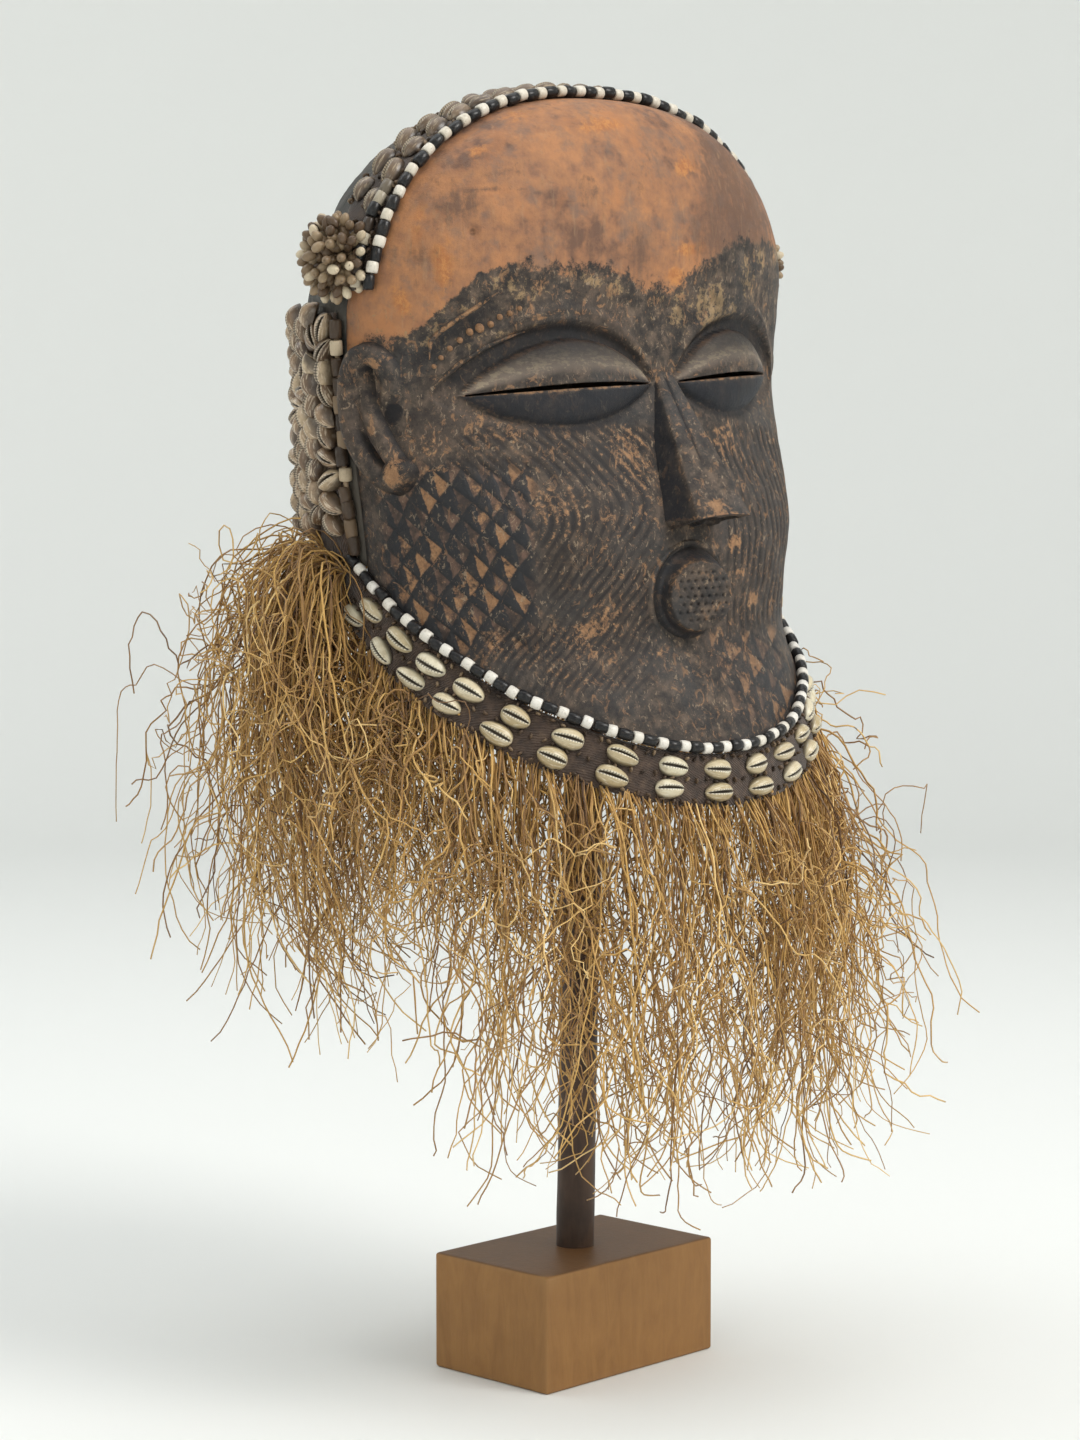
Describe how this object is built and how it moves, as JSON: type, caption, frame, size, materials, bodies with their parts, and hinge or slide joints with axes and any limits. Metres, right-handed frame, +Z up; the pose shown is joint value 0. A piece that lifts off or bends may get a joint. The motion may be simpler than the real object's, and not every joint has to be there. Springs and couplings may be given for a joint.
{
  "type": "beaded wooden face mask on a stand",
  "caption": "Carved wooden face mask with slit eyes and a drum-shaped mouth, a hood, cowrie and bead bands and a raffia beard, on a rod and block.",
  "frame": {"origin": "middle of the block's underside", "axes": "+Z up along the rod, -Y the way the face looks, +X the mask's left"},
  "size_m": [0.3397, 0.283, 0.6055],
  "materials": {
    "block_wood": "satin oiled",
    "rod_wood": "satin dark",
    "mask_wood": "worn paint, dark with an ochre forehead",
    "hide": "matt hide or cloth",
    "cloth": "coarse brown cloth",
    "old_shell": "browned cowrie shell",
    "shell": "cream cowrie shell",
    "beads": "white and black beads in turn",
    "seed_beads": "cream and brown beads",
    "raffia": "dry raffia fibre"
  },
  "bodies": {
    "root": {"stand_block": "block_wood", "stand_rod": "rod_wood", "wooden_mask": "mask_wood", "hood": "hide", "headband_cloth": "cloth", "headband_shells": "old_shell", "headband_beads": "beads", "rosette_right": "seed_beads", "rosette_left": "seed_beads", "side_panel_right": "cloth", "side_panel_left": "cloth", "side_shells_right": "old_shell", "side_shells_left": "old_shell", "side_beads_right": "seed_beads", "side_beads_left": "seed_beads", "jaw_band": "cloth", "jaw_shells_upper": "shell", "jaw_shells_lower": "shell", "jaw_beads": "beads", "raffia_beard": "raffia", "raffia_nape": "raffia", "raffia_bunch_right": "raffia", "raffia_bunch_left": "raffia"}
  },
  "joints": []
}
